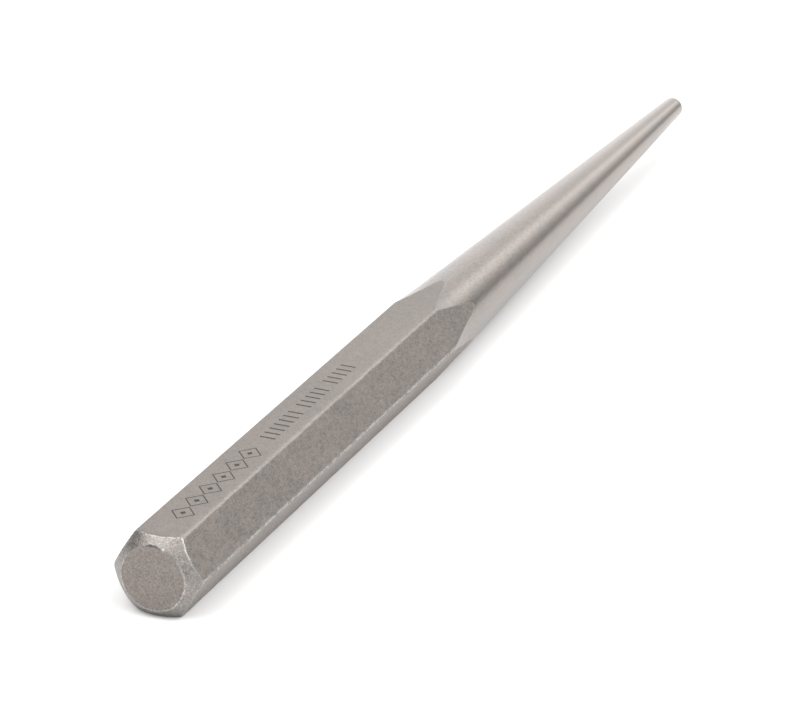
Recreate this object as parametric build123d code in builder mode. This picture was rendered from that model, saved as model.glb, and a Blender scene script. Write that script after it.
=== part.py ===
from build123d import *
import os
from math import cos, radians, sin, tan

# A long taper punch for metalwork: one bar of hexagonal tool steel. The struck end is
# chamfered to a round face. The working end is turned to a long slender taper with a blunt,
# flat tip. A hollow sweep blends the six corners of the bar into the taper, so that each
# flat runs out in a pointed arch.
#
# Millimetres. The punch lies on one of its flats, as it rests on a bench. +X runs along its
# axis from the struck end to the tip, +Z is up, and the origin is under the middle of its
# length, on the bench.

# Bar
across_flats = 15.875  # 5/8 in hexagonal bar
length = 285.75  # 11 1/4 in overall
corner_rounding = 1.0  # radius along the bar's six long edges

# Struck end
struck_face_diameter = 12.7  # 1/2 in
head_chamfer_angle = 45  # degrees to the axis
struck_rim_radius = 0.5  # softened edge round the struck face
scallop_radius = 0.2  # softened edge where the chamfer cuts the six flats

# Working end
tip_diameter = 4.7625  # 3/16 in
tip_rim_radius = 0.3
taper_start = 135.8  # from the struck face to the large end of the straight taper
taper_half_angle = 2.18  # degrees
shoulder_radius = 135  # hollow sweep between the bar's corners and the taper
shoulder_sweep = 8  # degrees of that arc, enough to run out past the corners

# The punch's axis, and the planes that its section and its profile are drawn on
axis_start = (-length / 2, 0, across_flats / 2)
punch_axis = Axis(axis_start, (1, 0, 0))
section_plane = Plane(origin=axis_start, x_dir=(0, 1, 0), z_dir=(1, 0, 0))
profile_plane = Plane(origin=axis_start, x_dir=(1, 0, 0), z_dir=(0, -1, 0))

# Radii of the turned profile, which is cut from the bar
struck_radius = struck_face_diameter / 2
tip_radius = tip_diameter / 2
taper_slope = tan(radians(taper_half_angle))
taper_large_radius = tip_radius + (length - taper_start) * taper_slope
towards_head = (-cos(radians(taper_half_angle)), sin(radians(taper_half_angle)))


with BuildPart() as punch:
    # Hexagonal bar with softly rounded long edges, a flat below and a flat on top
    with BuildSketch(section_plane):
        RegularPolygon(radius=across_flats / 2, side_count=6, major_radius=False)
        fillet(vertices(), radius=corner_rounding)
    extrude(amount=length)

    # Everything outside the turned profile is cut away
    with BuildSketch(profile_plane):
        with BuildLine():
            taper = Line((length, tip_radius), (taper_start, taper_large_radius))
            shoulder = JernArc(
                start=taper @ 1,
                tangent=towards_head,
                radius=shoulder_radius,
                arc_size=-shoulder_sweep,
            )
            outer_radius = (shoulder @ 1).Y
            chamfer_length = (outer_radius - struck_radius) / tan(radians(head_chamfer_angle))
            Polyline(
                shoulder @ 1,
                (chamfer_length, outer_radius),
                (0, struck_radius),
                (0, 0),
                (length, 0),
                (length, tip_radius),
            )
        make_face()
    revolve(axis=punch_axis, mode=Mode.INTERSECT)

    # Softened rims round the struck face, along the six scallops and round the tip
    struck_rim = faces().sort_by(Axis.X)[0].edges()
    tip_rim = faces().sort_by(Axis.X)[-1].edges()
    head_chamfer = faces().filter_by(GeomType.CONE).sort_by(Axis.X)[0]
    scallops = head_chamfer.edges().filter_by(GeomType.CIRCLE, reverse=True)
    fillet(scallops, radius=scallop_radius)
    fillet(struck_rim, radius=struck_rim_radius)
    fillet(tip_rim, radius=tip_rim_radius)

punch.part.label = "punch"

os.makedirs("parts", exist_ok=True)
export_step(punch.part, "parts/punch.step")
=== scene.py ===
import math

import bpy
from mathutils import Matrix, Vector, noise


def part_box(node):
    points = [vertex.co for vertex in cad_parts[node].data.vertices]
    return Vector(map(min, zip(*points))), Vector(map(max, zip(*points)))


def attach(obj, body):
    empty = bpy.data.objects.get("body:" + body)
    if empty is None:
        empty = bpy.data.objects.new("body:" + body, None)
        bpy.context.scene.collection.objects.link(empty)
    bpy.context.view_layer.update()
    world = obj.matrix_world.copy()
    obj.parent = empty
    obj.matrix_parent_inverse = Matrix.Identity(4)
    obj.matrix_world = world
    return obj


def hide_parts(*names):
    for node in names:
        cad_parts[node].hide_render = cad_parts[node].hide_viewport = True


# A long taper punch of hexagonal tool steel, lying on one of its flats on a white sweep.
# Metres, in the CAD's frame: +X runs from the struck end to the tip and +Z is up.
# In the functions that shape the punch, x is the distance from the struck face. Angles round
# the axis go from +Y (0 degrees) over the top (90) to -Y (180).

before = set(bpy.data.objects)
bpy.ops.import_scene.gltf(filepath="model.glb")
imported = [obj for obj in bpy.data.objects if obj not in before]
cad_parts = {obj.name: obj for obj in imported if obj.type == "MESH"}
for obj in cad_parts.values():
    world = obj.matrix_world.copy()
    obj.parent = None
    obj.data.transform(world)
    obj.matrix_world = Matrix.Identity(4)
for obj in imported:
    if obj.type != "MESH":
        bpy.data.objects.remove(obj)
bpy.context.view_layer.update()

MM = 0.001

# Sizes. The overall ones are read from the frame, the others repeat the CAD's.
low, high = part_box("punch")
LENGTH = high.x - low.x
APOTHEM = (high.z - low.z) / 2
AXIS = Vector(((low.x + high.x) / 2, (low.y + high.y) / 2, low.z + APOTHEM))
HEAD = AXIS - Vector((LENGTH / 2, 0, 0))
CORNER_ROUNDING = 1.0 * MM
STRUCK_RADIUS = 6.35 * MM
STRUCK_RIM = 0.5 * MM
CHAMFER_ANGLE = math.radians(45)
TIP_RADIUS = 2.38125 * MM
TIP_RIM = 0.3 * MM
TAPER_START = 135.8 * MM
TAPER_SLOPE = math.tan(math.radians(2.18))
SHOULDER_RADIUS = 135 * MM

# Softening of the two kinds of crease, as the radius difference over which they blend
SCALLOP_BLEND = 0.28 * MM
ARCH_BLEND = 0.02 * MM

# Wear: how far and how often the scalloped edge wanders, and how deep the bar's corners are
# rubbed, which varies this much about its mean over lengths of about this size
SCALLOP_WANDER = 0.06 * MM
WANDER_RATE = 4
CORNER_RUB = 0.025 * MM
RUB_MEAN = 0.6
RUB_SPREAD = 0.4
RUB_LENGTH = 2.5 * MM

# How brightly the edges are rubbed or painted with a highlight, 0 being neither. The struck
# face's rim has a painted highlight, duller round its top; the scallops are rubbed, with a
# painted highlight added round the top. The rim's painted highlight lies between two angles of
# its turn.
RIM_HIGHLIGHT = 0.8
RIM_DULLED = 0.7
RIM_DULL_ANGLES = (10, 185)
RIM_HIGHLIGHT_TURN = (-10, 55)
SCALLOP_BRIGHT = 0.4
SCALLOP_TOP_HIGHLIGHT = 0.45
SCALLOP_TOP_HIGHLIGHT_ANGLES = (40, 160)
SCALLOP_UNEVEN = 0.3
ARCH_BRIGHT = 0.2

# A hammer mark on the top of the struck face's rim, its bottom painted dark with shade, with a
# bright fleck beside it that is a painted glint. The power makes the mark's ends steep.
DENT_ANGLES = (73, 103)
DENT_DEPTH = 0.12 * MM
DENT_HALF_WIDTH = 0.24 * MM
DENT_REACH = 1 * MM
DENT_POWER = 0.4
GLINT_FLECK_ANGLES = (104, 112)
GLINT_FLECK_BRIGHT = 1.5

# How finely the punch is meshed. The struck face's rings are closer together near its rim.
FLAT_STEPS = 26
CORNER_STEPS = 8
SHANK_RINGS = 140
TAPER_RINGS = 130
CHAMFER_RINGS = 14
FACE_RINGS = 8
FACE_RIM_RINGS = 12
FACE_RIM_BAND = 1.0 * MM
TIP_RINGS = 6
RIM_STEPS = 6
CREASE_STEPS = (-1, -0.75, -0.5, -0.25, 0, 0.25, 0.5, 0.75, 1)

# The zones of the surface, each with its own finish, and how far round its rim the struck
# face's goes
FACE, CHAMFER, SHANK, TAPER = range(4)
FACE_TURN = math.radians(20)


# ------------------------------------------------------------------ the punch's shape


def section_columns():
    """(angle, radius, rubbed) of each point round the rounded hexagon.

    rubbed is 0 on the flats and 1 on the middle of a corner."""
    inner = APOTHEM - CORNER_ROUNDING
    half_flat = inner * math.tan(math.radians(30))
    local = []
    for i in range(FLAT_STEPS + 1):
        local.append((APOTHEM, half_flat * (2 * i / FLAT_STEPS - 1), 0))
    for i in range(1, CORNER_STEPS):
        turn = math.radians(60) * i / CORNER_STEPS
        out = inner + CORNER_ROUNDING * math.cos(turn)
        along = half_flat + CORNER_ROUNDING * math.sin(turn)
        local.append((out, along, math.sin(math.pi * i / CORNER_STEPS)))
    columns = []
    for flat in range(6):
        facing = math.radians(90 + 60 * flat)
        for out, along, rubbed in local:
            angle = facing + math.atan2(along, out)
            columns.append((angle, math.hypot(out, along), rubbed))
    return columns


def taper_radius(x):
    return TIP_RADIUS + (LENGTH - x) * TAPER_SLOPE


TAPER_TILT = math.atan(TAPER_SLOPE)
SHOULDER_X = TAPER_START + SHOULDER_RADIUS * math.sin(TAPER_TILT)
SHOULDER_R = taper_radius(TAPER_START) + SHOULDER_RADIUS * math.cos(TAPER_TILT)


def turned_radius(x):
    """Radius of the turned profile towards the tip: the hollow sweep, then the taper."""
    if x > TAPER_START:
        return taper_radius(x)
    return SHOULDER_R - math.sqrt(SHOULDER_RADIUS**2 - (SHOULDER_X - x) ** 2)


def turned_x(radius):
    """Where the sweep or the taper has this radius."""
    if radius < taper_radius(TAPER_START):
        return LENGTH - (radius - TIP_RADIUS) / TAPER_SLOPE
    return SHOULDER_X - math.sqrt(SHOULDER_RADIUS**2 - (SHOULDER_R - radius) ** 2)


def soft_min(a, b, blend):
    """The smaller of two values, rounded off where they differ by less than blend."""
    near = max(blend - abs(a - b), 0) / blend
    return min(a, b) - near * near * blend / 4


def spread(start, end, count):
    """count values from start to just before end."""
    return [start + (end - start) * i / count for i in range(count)]


def hump(value, start, end):
    """0 at start and end, 1 halfway between them."""
    if not start < value < end:
        return 0
    return math.sin(math.pi * (value - start) / (end - start)) ** 2


# The next four functions list the stations along one column of the mesh. A station is
# (x, radius, zone of the face that follows, edge), where edge is how brightly it is rubbed or
# painted with a highlight.


def face_and_rim(degrees):
    face_edge = STRUCK_RADIUS - STRUCK_RIM * math.tan(CHAMFER_ANGLE / 2)
    band = face_edge - FACE_RIM_BAND
    radii = spread(0, band, FACE_RINGS)[1:] + spread(band, face_edge, FACE_RIM_RINGS)
    stations = [(0, r, FACE, 0) for r in radii]
    # The rim's bright line is a painted highlight, dulled round the top
    bright = RIM_HIGHLIGHT - RIM_DULLED * hump(degrees, *RIM_DULL_ANGLES)
    for turn in spread(0, CHAMFER_ANGLE, RIM_STEPS):
        x = STRUCK_RIM * (1 - math.cos(turn))
        r = face_edge + STRUCK_RIM * math.sin(turn)
        zone = FACE if turn < FACE_TURN else CHAMFER
        stations.append((x, r, zone, bright * hump(math.degrees(turn), *RIM_HIGHLIGHT_TURN)))
    return stations


def chamfer_and_scallop(angle, degrees, hex_radius):
    # At 45 degrees, the chamfer's radius grows as much as x does
    wander = noise.noise(Vector((math.cos(angle), math.sin(angle), 0)) * WANDER_RATE)
    shift = wander * SCALLOP_WANDER
    scallop_x = hex_radius - STRUCK_RADIUS + shift
    rim_end = STRUCK_RIM * (1 - math.cos(CHAMFER_ANGLE))
    stations = []
    for i, x in enumerate(spread(rim_end, scallop_x - SCALLOP_BLEND, CHAMFER_RINGS)):
        stations.append((x, STRUCK_RADIUS + x - shift * i / CHAMFER_RINGS, CHAMFER, 0))
    # The scallops are rubbed, with a painted highlight added round the top
    bright = SCALLOP_BRIGHT + SCALLOP_TOP_HIGHLIGHT * hump(degrees, *SCALLOP_TOP_HIGHLIGHT_ANGLES)
    bright += SCALLOP_UNEVEN * wander
    for step in CREASE_STEPS:
        x = scallop_x + step * SCALLOP_BLEND
        r = soft_min(hex_radius, STRUCK_RADIUS + x - shift, SCALLOP_BLEND)
        zone = SHANK if step >= 0 else CHAMFER
        stations.append((x, r, zone, bright * (1 - abs(step))))
    return stations


def bar_and_arch(start, angle, hex_radius, rubbed):
    arch = [turned_x(hex_radius - step * ARCH_BLEND) for step in CREASE_STEPS]
    stations = []
    for x in spread(start, arch[0], SHANK_RINGS)[1:]:
        rub = RUB_MEAN + RUB_SPREAD * noise.noise(Vector((x / RUB_LENGTH, angle, 0)))
        stations.append((x, hex_radius - rubbed * rub * CORNER_RUB, SHANK, 0))
    for step, x in zip(CREASE_STEPS, arch):
        r = soft_min(hex_radius, hex_radius - step * ARCH_BLEND, ARCH_BLEND)
        zone = TAPER if step >= 0 else SHANK
        stations.append((x, r, zone, ARCH_BRIGHT * (1 - abs(step))))
    return stations


def taper_and_tip(start):
    rim_start = LENGTH - TIP_RIM
    flat_radius = taper_radius(rim_start) - TIP_RIM
    stations = []
    for x in spread(start, rim_start, TAPER_RINGS)[1:]:
        stations.append((x, turned_radius(x), TAPER, 0))
    for turn in spread(0, math.radians(90), RIM_STEPS):
        x = rim_start + TIP_RIM * math.sin(turn)
        r = flat_radius + TIP_RIM * math.cos(turn)
        stations.append((x, r, TAPER, hump(math.degrees(turn), 0, 90)))
    for r in spread(flat_radius, 0, TIP_RINGS):
        stations.append((LENGTH, r, TAPER, 0))
    return stations


def column_stations(angle, hex_radius, rubbed):
    """All the stations of one column, from the middle of the struck face to that of the tip."""
    degrees = math.degrees(angle) % 360
    stations = face_and_rim(degrees)
    stations += chamfer_and_scallop(angle, degrees, hex_radius)
    stations += bar_and_arch(stations[-1][0], angle, hex_radius, rubbed)
    stations += taper_and_tip(stations[-1][0])
    return stations


def hammer_mark(x, r, degrees):
    """(shift into the steel, dent, glint fleck) of a point, all 0 away from the struck face's
    rim.
    """
    if x > DENT_REACH:
        return 0, 0, 0
    off_rim = (r - STRUCK_RADIUS) / DENT_HALF_WIDTH
    across = max(1 - off_rim * off_rim, 0)
    dent = across * hump(degrees, *DENT_ANGLES) ** DENT_POWER
    glint_fleck = across * hump(degrees, *GLINT_FLECK_ANGLES)
    return dent * DENT_DEPTH, dent, glint_fleck


def make_punch():
    """One closed mesh: rings of points along the punch, with a pole in the middle of each end."""
    columns = section_columns()
    paths = [column_stations(*column) for column in columns]
    rings = len(paths[0])
    count = len(columns)

    points, edges, dents = [], [], []
    for ring in range(rings):
        for (angle, _, _), path in zip(columns, paths):
            x, r, _, edge = path[ring]
            shift, dent, glint_fleck = hammer_mark(x, r, math.degrees(angle) % 360)
            out = Vector((0, math.cos(angle), math.sin(angle)))
            points.append(HEAD + Vector((x + shift, 0, 0)) + out * r)
            # The dent dulls the rubbing, and the glint fleck is a painted glint
            edges.append(max(edge - dent, GLINT_FLECK_BRIGHT * glint_fleck, 0))
            dents.append(dent)
    head_pole = len(points)
    points.append(HEAD)
    tip_pole = len(points)
    points.append(HEAD + Vector((LENGTH, 0, 0)))
    edges += [0, 0]
    dents += [0, 0]

    faces, zones = [], []
    for i in range(count):
        j = (i + 1) % count
        faces.append((head_pole, i, j))
        zones.append(FACE)
        for ring in range(rings - 1):
            a, b = ring * count, (ring + 1) * count
            faces.append((a + i, b + i, b + j, a + j))
            zones.append(paths[i][ring][2])
        last = (rings - 1) * count
        faces.append((last + i, tip_pole, last + j))
        zones.append(TAPER)

    mesh = bpy.data.meshes.new("punch_steel")
    mesh.from_pydata(points, [], faces)
    mesh.polygons.foreach_set("material_index", zones)
    mesh.polygons.foreach_set("use_smooth", [True] * len(faces))
    mesh.attributes.new("edge", "FLOAT", "POINT").data.foreach_set("value", edges)
    mesh.attributes.new("dent", "FLOAT", "POINT").data.foreach_set("value", dents)
    mesh.validate()
    mesh.update()
    piece = bpy.data.objects.new("taper_punch", mesh)
    bpy.context.scene.collection.objects.link(piece)
    return piece


# ------------------------------------------------------------------ node trees


class Tree:
    """Adds nodes to a material or a world, and joins them."""

    def __init__(self, owner):
        owner.use_nodes = True
        self.nodes = owner.node_tree.nodes
        self.links = owner.node_tree.links

    def put(self, socket, value):
        if isinstance(value, bpy.types.NodeSocket):
            self.links.new(value, socket)
        else:
            socket.default_value = value

    def add(self, kind, inputs, **settings):
        made = self.nodes.new("ShaderNode" + kind)
        for name, value in settings.items():
            setattr(made, name, value)
        for name, value in inputs.items():
            self.put(made.inputs[name], value)
        return made

    def math(self, operation, *values):
        return self.add("Math", dict(enumerate(values)), operation=operation).outputs[0]

    def vector(self, operation, *values):
        return self.add("VectorMath", dict(enumerate(values)), operation=operation).outputs[0]

    def times(self, *values):
        total = values[0]
        for value in values[1:]:
            total = self.math("MULTIPLY", total, value)
        return total

    def plus(self, *values):
        total = values[0]
        for value in values[1:]:
            total = self.math("ADD", total, value)
        return total

    def remap(self, value, start, end, to_start, to_end):
        """Eased change of a value from one range to another, held at both ends."""
        made = self.add("MapRange", {"Value": value}, interpolation_type="SMOOTHSTEP")
        for name, number in (
            ("From Min", start),
            ("From Max", end),
            ("To Min", to_start),
            ("To Max", to_end),
        ):
            made.inputs[name].default_value = number
        return made.outputs["Result"]

    def grain(self, place, size, detail, seed):
        """Noise of about this feature size, from roughly -1 to 1."""
        made = self.add(
            "TexNoise",
            {"Vector": place, "W": seed, "Scale": 1 / size, "Detail": detail, "Roughness": 0.6},
            noise_dimensions="4D",
        )
        return self.math("MULTIPLY_ADD", made.outputs["Fac"], 4, -2)

    def blend(self, amount, first, second):
        made = self.add("Mix", {0: amount, 6: first, 7: second}, data_type="RGBA")
        return made.outputs[2]

    def attribute(self, name):
        return self.add("Attribute", {}, attribute_name=name).outputs["Fac"]

    def split(self, vector):
        made = self.add("SeparateXYZ", {0: vector})
        return made.outputs["X"], made.outputs["Y"], made.outputs["Z"]


# ------------------------------------------------------------------ etched marks

# A chain of outlined lozenges with a pip in each, then three groups of ticks, on the top flat.
# Lengths in millimetres, along from the struck face and across from the middle of the flat.
# A FADE is where a line starts and ends to fade, off its middle. A group of ticks has a start,
# a pitch and a count.
MARKS_ACROSS = -0.2
LOZENGES_START = 9.5
LOZENGE_PITCH = 5.9
LOZENGE_COUNT = 6
LOZENGE_CELL_WIDTH = 5.0
TICK_HALF_HEIGHT = 1.6
TICK_FADE = (0.2, 0.3)
TICK_GROUPS = ((49.0, 2.2, 7), (66.0, 2.2, 5), (79.0, 2.2, 5))

# The sizes of a lozenge and its pip are parts of its cell, and its line fades between parts of
# half the line's width
LOZENGE_SIZE = 0.9
PIP_FADE = (0.2, 0.3)
HALF_LINE = 0.12
LINE_FADE = (0.6, 1.5)

# The marks start and end to show between these heights, so they are on the top flat only
MARKS_HEIGHT = (AXIS.z + APOTHEM - 0.3 * MM, AXIS.z + APOTHEM - 0.1 * MM)

# Etching makes the steel darker, rougher and deeper, a little less in the pits of the grain. The
# first two of four values are mapped on to the last two.
ETCHED_PATCHY = (-1.4, -0.2, 0.75, 1)
ETCHED_SHADE = -0.72
ETCHED_ROUGHNESS = 0.1
ETCHED_HEIGHT = -0.01 * MM


def within(tree, value, start, end):
    middle, half = (start + end) / 2, (end - start) / 2
    return tree.math("COMPARE", value, middle, half)


def off_cell_middle(tree, along, start, pitch):
    """How far a place is from the middle of its cell, where cells repeat and are 1 long."""
    cell = tree.math("MULTIPLY_ADD", along, 1 / pitch, -start / pitch)
    return tree.math("ABSOLUTE", tree.math("SUBTRACT", tree.math("FRACT", cell), 0.5))


def etched_marks(tree, place):
    """1 on the etched lines, 0 elsewhere."""
    x, y, z = tree.split(place)
    along = tree.math("MULTIPLY_ADD", x, 1 / MM, -HEAD.x / MM)
    across = tree.math("MULTIPLY_ADD", y, 1 / MM, -AXIS.y / MM - MARKS_ACROSS)
    off_line = tree.math("ABSOLUTE", across)

    # Lozenges: equal steps of |along| + |across| are lozenge outlines
    off_middle = off_cell_middle(tree, along, LOZENGES_START, LOZENGE_PITCH)
    size = tree.plus(tree.times(off_middle, 2), tree.times(off_line, 2 / LOZENGE_CELL_WIDTH))
    half_line = HALF_LINE * math.hypot(2 / LOZENGE_PITCH, 2 / LOZENGE_CELL_WIDTH)
    fade_start, fade_end = (half_line * part for part in LINE_FADE)
    off_outline = tree.math("ABSOLUTE", tree.math("SUBTRACT", size, LOZENGE_SIZE))
    outline = tree.remap(off_outline, fade_start, fade_end, 1, 0)
    pip = tree.remap(size, *PIP_FADE, 1, 0)
    row_end = LOZENGES_START + LOZENGE_PITCH * LOZENGE_COUNT
    row = within(tree, along, LOZENGES_START, row_end)
    marks = tree.times(tree.math("MAXIMUM", outline, pip), row)

    tall = tree.math("LESS_THAN", off_line, TICK_HALF_HEIGHT)
    for start, pitch, count in TICK_GROUPS:
        off_middle = off_cell_middle(tree, along, start, pitch)
        fade_start, fade_end = (part / pitch for part in TICK_FADE)
        line = tree.remap(off_middle, fade_start, fade_end, 1, 0)
        group = within(tree, along, start, start + pitch * count)
        marks = tree.plus(marks, tree.times(line, group, tall))

    return tree.times(marks, tree.remap(z, *MARKS_HEIGHT, 0, 1))


def etch(tree, place, fine, shade, rough, height):
    """The shade, roughness and height of the steel with the marks etched in it."""
    etched = tree.times(etched_marks(tree, place), tree.remap(fine, *ETCHED_PATCHY))
    shade = tree.times(shade, tree.math("MULTIPLY_ADD", etched, ETCHED_SHADE, 1))
    rough = tree.plus(rough, tree.times(etched, ETCHED_ROUGHNESS))
    height = tree.plus(height, tree.times(etched, ETCHED_HEIGHT))
    return shade, rough, height


# ------------------------------------------------------------------ steel

# Colours: greyish and warmish patches of one alloy, the freshly cut chamfer, the rubbed edges
# with their painted highlights, and the painted shade in the bottom of the hammer mark
PATCHY_STEEL = ((0.251, 0.231, 0.215, 1), (0.271, 0.237, 0.216, 1))
CUT_STEEL = ((0.256, 0.243, 0.231, 1), (0.268, 0.245, 0.229, 1))
RUBBED_AND_HIGHLIT_STEEL = (0.260, 0.249, 0.240, 1)
DENT_SHADE_GREY = (0.10, 0.11, 0.13, 1)

# The coarser part of the grain: its size and shade as multiples of the fine part's, and what it
# adds to the roughness
COARSE_SIZE = 2.6
COARSE_SHADE = 0.7
COARSE_ROUGHNESS = 0.02

# How much of the grain is left on the top flat and at the tip
TOP_GRAIN = 0.6
TIP_GRAIN = 0.2

# Patches, and slower changes, over the whole surface
PATCH_SIZE = 3.2 * MM
PATCH_SHADE = 0.045
PATCH_ROUGHNESS = 0.03
DRIFT_SIZE = 14 * MM
DRIFT_SHADE = 0.02
TINT_CONTRAST = 0.35

# How strong a grain is when it starts to glint, and when it glints fully
GLINTING = (0.25, 0.8)

# Rubbing and the painted highlights on the edges are broken up by the grain, and they make the
# steel whiter, brighter and smoother. The hammer mark is painted dark with shade instead. The
# first two of four values are mapped on to the last two.
RUBBED_BROKEN = (-0.9, 0.5, 0.1, 1)
RUBBED_AND_HIGHLIT_WHITE = (0, 0.06, 0, 0.8)
RUBBED_AND_HIGHLIT_SHADE = 0.9
RUBBED_ROUGHNESS = -0.12
DENT_SHADE = (0.2, 0.8, 0, 0.8)

# The bar's corners are rubbed where they are this far from the axis. Its two side corners also
# have a narrow painted highlight, a little above their middle.
CORNER_RADII = (1.095 * APOTHEM, 1.125 * APOTHEM)
SIDE_HIGHLIGHT_UP = 0.15 * MM
SIDE_HIGHLIGHT_FADE = (0.1 * MM, 0.45 * MM)

# A small nick on the flat below the top one, towards the struck end, painted darker with shade
# in its hollow
NICK = tuple(HEAD + Vector((26.5, -7.75, 2.45)) * MM)
NICK_FADE = (0.15 * MM, 0.45 * MM)
NICK_SHADE = -0.3
NICK_HEIGHT = -0.08 * MM


def rubbed_corners_and_highlight(tree, y, z, rubbed, side_highlight):
    """How brightly the bar's corners are rubbed and painted with a highlight, from a place's
    distances off the axis.
    """
    radius = tree.math("SQRT", tree.plus(tree.times(y, y), tree.times(z, z)))
    corners = tree.remap(radius, *CORNER_RADII, 0, rubbed)
    # The side corners' narrow line is a painted highlight
    off_line = tree.math("ABSOLUTE", tree.math("SUBTRACT", z, SIDE_HIGHLIGHT_UP))
    return tree.plus(corners, tree.remap(off_line, *SIDE_HIGHLIGHT_FADE, side_highlight, 0))


def add_nick(tree, place, shade, height):
    """The shade and height of the steel with the nick in it."""
    off_nick = tree.add("VectorMath", {0: place, 1: NICK}, operation="DISTANCE")
    nick = tree.remap(off_nick.outputs["Value"], *NICK_FADE, 1, 0)
    # Painted shade in the nick's hollow
    shade = tree.times(shade, tree.math("MULTIPLY_ADD", nick, NICK_SHADE, 1))
    return shade, tree.plus(height, tree.times(nick, NICK_HEIGHT))


def steel(
    name,
    level,
    roughness,
    grain_size,
    depth,
    speckle,
    colours=PATCHY_STEEL,
    lay=(1, 1, 1),
    mottle=1.0,
    glints=0.0,
    marks=False,
    rubbed=0.0,
    side_highlight=0.0,
    tip_painted_light=0.0,
):
    """Bare tool steel.

    level scales its colour, grain_size and depth are those of the blasted or ground surface,
    and speckle is how much that grain changes the colour. colours are those of its patches.
    lay is how close the grain is along each direction, drawn out where it is below 1, mottle
    scales the patches and the coarser grain, and glints is the brightness of scattered grains.
    marks etches the top flat and adds the nick. rubbed brightens the bar's corners,
    side_highlight paints a highlight along its side corners, and tip_painted_light paints the
    taper brighter towards its tip, where the grain also fades."""
    material = bpy.data.materials.new(name)
    tree = Tree(material)
    shader = tree.nodes["Principled BSDF"]
    place = tree.add("TexCoord", {}).outputs["Object"]
    x, y, z = tree.split(tree.vector("SUBTRACT", place, tuple(AXIS)))

    # Grain and patches
    laid = tree.vector("MULTIPLY", place, lay)
    fine = tree.grain(laid, grain_size, 3, 1)
    coarse = tree.grain(laid, grain_size * COARSE_SIZE, 2, 2)
    if marks:
        smooth = tree.remap(z, APOTHEM - MM, APOTHEM, 1, TOP_GRAIN)
        fine, coarse = tree.times(fine, smooth), tree.times(coarse, smooth)
    if tip_painted_light:
        smooth = tree.remap(x, 0, LENGTH / 2, 1, TIP_GRAIN)
        fine, coarse = tree.times(fine, smooth), tree.times(coarse, smooth)
    patches = tree.grain(place, PATCH_SIZE, 3, 3)
    drift = tree.grain(place, DRIFT_SIZE, 1, 4)

    # Colour
    tint = tree.math("MULTIPLY_ADD", tree.plus(patches, drift), TINT_CONTRAST, 0.5)
    colour = tree.blend(tree.remap(tint, 0, 1, 0, 1), *colours)
    shade = tree.plus(
        level,
        tree.times(fine, speckle),
        tree.times(coarse, speckle * COARSE_SHADE * mottle),
        tree.times(patches, PATCH_SHADE * mottle),
        tree.times(drift, DRIFT_SHADE * mottle),
    )
    if glints:
        shade = tree.plus(shade, tree.remap(fine, *GLINTING, 0, glints))
    # Painted light: the taper is painted brighter towards its tip
    if tip_painted_light:
        shade = tree.plus(shade, tree.remap(x, 0, LENGTH / 2, 0, tip_painted_light))

    # Rubbed edges and painted highlights
    broken = tree.remap(tree.plus(fine, coarse), *RUBBED_BROKEN)
    edge = tree.times(tree.attribute("edge"), broken)
    if rubbed:
        # The corners' rubbing, and the painted highlight along the side corners
        corners = rubbed_corners_and_highlight(tree, y, z, rubbed, side_highlight)
        edge = tree.math("MAXIMUM", edge, tree.times(corners, broken))
    shade = tree.times(shade, tree.math("MULTIPLY_ADD", edge, RUBBED_AND_HIGHLIT_SHADE, 1))
    colour = tree.blend(tree.remap(edge, *RUBBED_AND_HIGHLIT_WHITE), colour, RUBBED_AND_HIGHLIT_STEEL)

    # Surface
    rough = tree.plus(
        roughness,
        tree.times(patches, PATCH_ROUGHNESS * mottle),
        tree.times(coarse, COARSE_ROUGHNESS * mottle),
        tree.times(edge, RUBBED_ROUGHNESS),
    )
    height = tree.plus(tree.times(fine, depth), tree.times(coarse, depth * mottle))

    # Marks and damage
    if marks:
        shade, rough, height = etch(tree, place, fine, shade, rough, height)
        shade, height = add_nick(tree, place, shade, height)
    # Painted shade in the bottom of the hammer mark
    dent = tree.remap(tree.attribute("dent"), *DENT_SHADE)
    colour = tree.blend(dent, colour, DENT_SHADE_GREY)

    shaded = tree.add("VectorMath", {0: colour, "Scale": shade}, operation="SCALE")
    bump = tree.add("Bump", {"Height": height, "Distance": 1, "Strength": 1})
    tree.put(shader.inputs["Base Color"], shaded.outputs[0])
    tree.put(shader.inputs["Roughness"], rough)
    tree.put(shader.inputs["Metallic"], 1)
    tree.put(shader.inputs["Normal"], bump.outputs[0])
    return material


# ------------------------------------------------------------------ the finished punch

punch = make_punch()

# In the order of the zones
FINISHES = (
    steel(
        "struck_face_steel",
        level=0.97,
        roughness=0.48,
        grain_size=0.2 * MM,
        depth=0.018 * MM,
        speckle=0.34,
    ),
    steel(
        "chamfer_steel",
        level=1.02,
        roughness=0.38,
        grain_size=0.25 * MM,
        depth=0.022 * MM,
        speckle=0.33,
        colours=CUT_STEEL,
        glints=0.6,
    ),
    steel(
        "bar_steel",
        level=0.99,
        roughness=0.46,
        grain_size=0.26 * MM,
        depth=0.02 * MM,
        speckle=0.3,
        lay=(0.6, 1, 1),
        marks=True,
        rubbed=0.03,
        side_highlight=0.42,
    ),
    steel(
        "taper_steel",
        level=1.0,
        roughness=0.26,
        grain_size=0.38 * MM,
        depth=0.007 * MM,
        speckle=0.16,
        lay=(0.5, 1, 1),
        mottle=0.3,
        tip_painted_light=0.14,
    ),
)
for finish in FINISHES:
    punch.data.materials.append(finish)
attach(punch, "root")
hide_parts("punch")


# ------------------------------------------------------------------ studio

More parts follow.
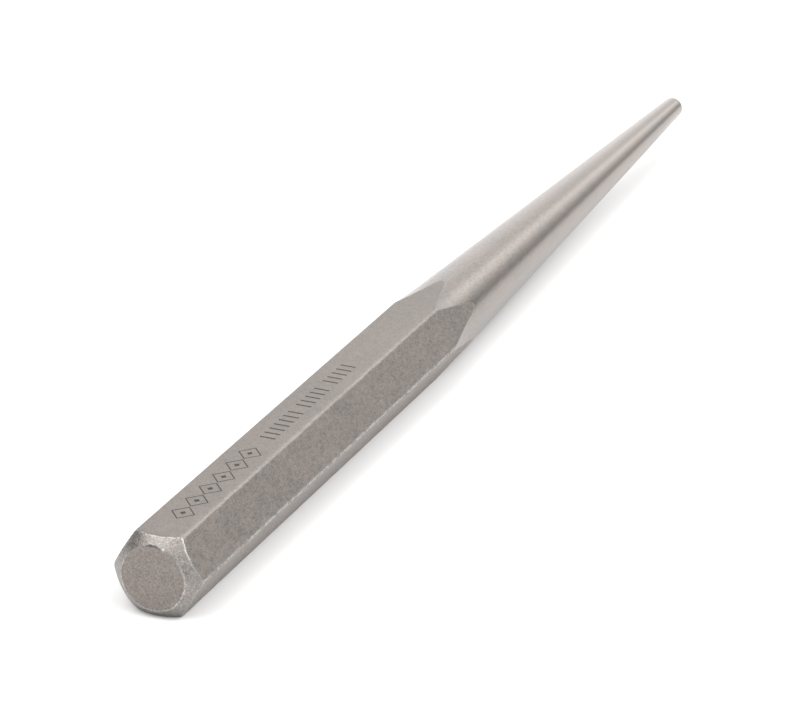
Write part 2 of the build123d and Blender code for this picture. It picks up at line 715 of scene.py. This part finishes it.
# Soft boxes round the punch: direction (degrees from +X towards +Y, degrees up), how tight the
# light is, and its strength. The strengths are the rounded results of a least-squares fit of
# test renders to the photo's brightness, on a grid of directions. Only those of (-20, 24),
# (20, 24), (-20, 4), (20, 4) and (40, 4) were then changed, and the boxes at (180, 26),
# (130, 62) and (-11, 25) were added.
SOFT_BOXES = (
    (-80, 44, 35, 5.0),
    (-40, 44, 35, 3.8),
    (-20, 44, 35, 2.0),
    (20, 44, 35, 2.2),
    (120, 44, 35, 2.1),
    (20, 66, 12, 0.3),
    (155, 62, 12, 4.2),
    (235, 36, 12, 1.3),
    (270, 36, 12, 1.9),
    (180, 26, 12, 1.2),
    (130, 62, 12, 0.6),
    (-11, 25, 150, 0.8),
    (-20, 24, 35, 1.4),
    (0, 24, 35, 0.8),
    (20, 24, 35, 0.8),
    (60, 24, 35, 1.9),
    (-20, 4, 35, 0.5),
    (0, 4, 35, 0.8),
    (20, 4, 35, 1.7),
    (40, 4, 35, 0.6),
    (60, 4, 35, 3.5),
)

# The camera, with the rounded results of a least-squares fit to the photo's outlines: the point
# it looks at, its distance from there, where it looks (degrees from +X towards +Y, degrees
# down), its roll, and its lens in millimetres
CAMERA_TARGET = AXIS + Vector((-26.22, 0, -0.41)) * MM
CAMERA_DISTANCE = 881.3 * MM
CAMERA_HEADING = 21.87
CAMERA_DOWN = 22.41
CAMERA_ROLL = 1.3
CAMERA_LENS = 195.95
CAMERA_SENSOR = 36


def make_floor():
    reach = 12
    corners = [(-reach, -reach, 0), (reach, -reach, 0), (reach, reach, 0), (-reach, reach, 0)]
    mesh = bpy.data.meshes.new("sweep")
    mesh.from_pydata(corners, [], [(0, 1, 2, 3)])
    floor = bpy.data.objects.new("sweep", mesh)
    bpy.context.scene.collection.objects.link(floor)
    material = bpy.data.materials.new("white_sweep")
    material.use_nodes = True
    shader = material.node_tree.nodes["Principled BSDF"]
    shader.inputs["Base Color"].default_value = (0.9, 0.9, 0.9, 1)
    shader.inputs["Roughness"].default_value = 0.9
    shader.inputs["Specular IOR Level"].default_value = 0
    mesh.materials.append(material)


def make_world():
    """White light whose strength is the sum of all the soft boxes, in every direction."""
    world = bpy.data.worlds.new("studio")
    tree = Tree(world)
    view = tree.add("TexCoord", {}).outputs["Generated"]
    total = 0
    for azimuth, elevation, tightness, strength in SOFT_BOXES:
        a, e = math.radians(azimuth), math.radians(elevation)
        towards = (math.cos(a) * math.cos(e), math.sin(a) * math.cos(e), math.sin(e))
        facing = tree.add("VectorMath", {0: view, 1: towards}, operation="DOT_PRODUCT")
        lit = tree.math("MAXIMUM", facing.outputs["Value"], 0)
        glow = tree.times(tree.math("POWER", lit, tightness), strength)
        total = tree.plus(total, glow)
    tree.put(tree.nodes["Background"].inputs["Strength"], total)
    tree.put(tree.nodes["Background"].inputs["Color"], (1, 1, 1, 1))
    bpy.context.scene.world = world


def make_camera():
    """Looks along the punch from above its struck end, with the tip away to the upper right."""
    data = bpy.data.cameras.new("camera")
    data.lens = CAMERA_LENS
    data.sensor_width = CAMERA_SENSOR
    camera = bpy.data.objects.new("camera", data)
    camera.matrix_world = (
        Matrix.Translation(CAMERA_TARGET)
        @ Matrix.Rotation(math.radians(CAMERA_HEADING - 90), 4, "Z")
        @ Matrix.Rotation(math.radians(90 - CAMERA_DOWN), 4, "X")
        @ Matrix.Rotation(math.radians(CAMERA_ROLL), 4, "Z")
        @ Matrix.Translation((0, 0, CAMERA_DISTANCE))
    )
    bpy.context.scene.collection.objects.link(camera)
    bpy.context.scene.camera = camera


make_floor()
make_world()
make_camera()
bpy.context.scene.view_settings.view_transform = "Standard"
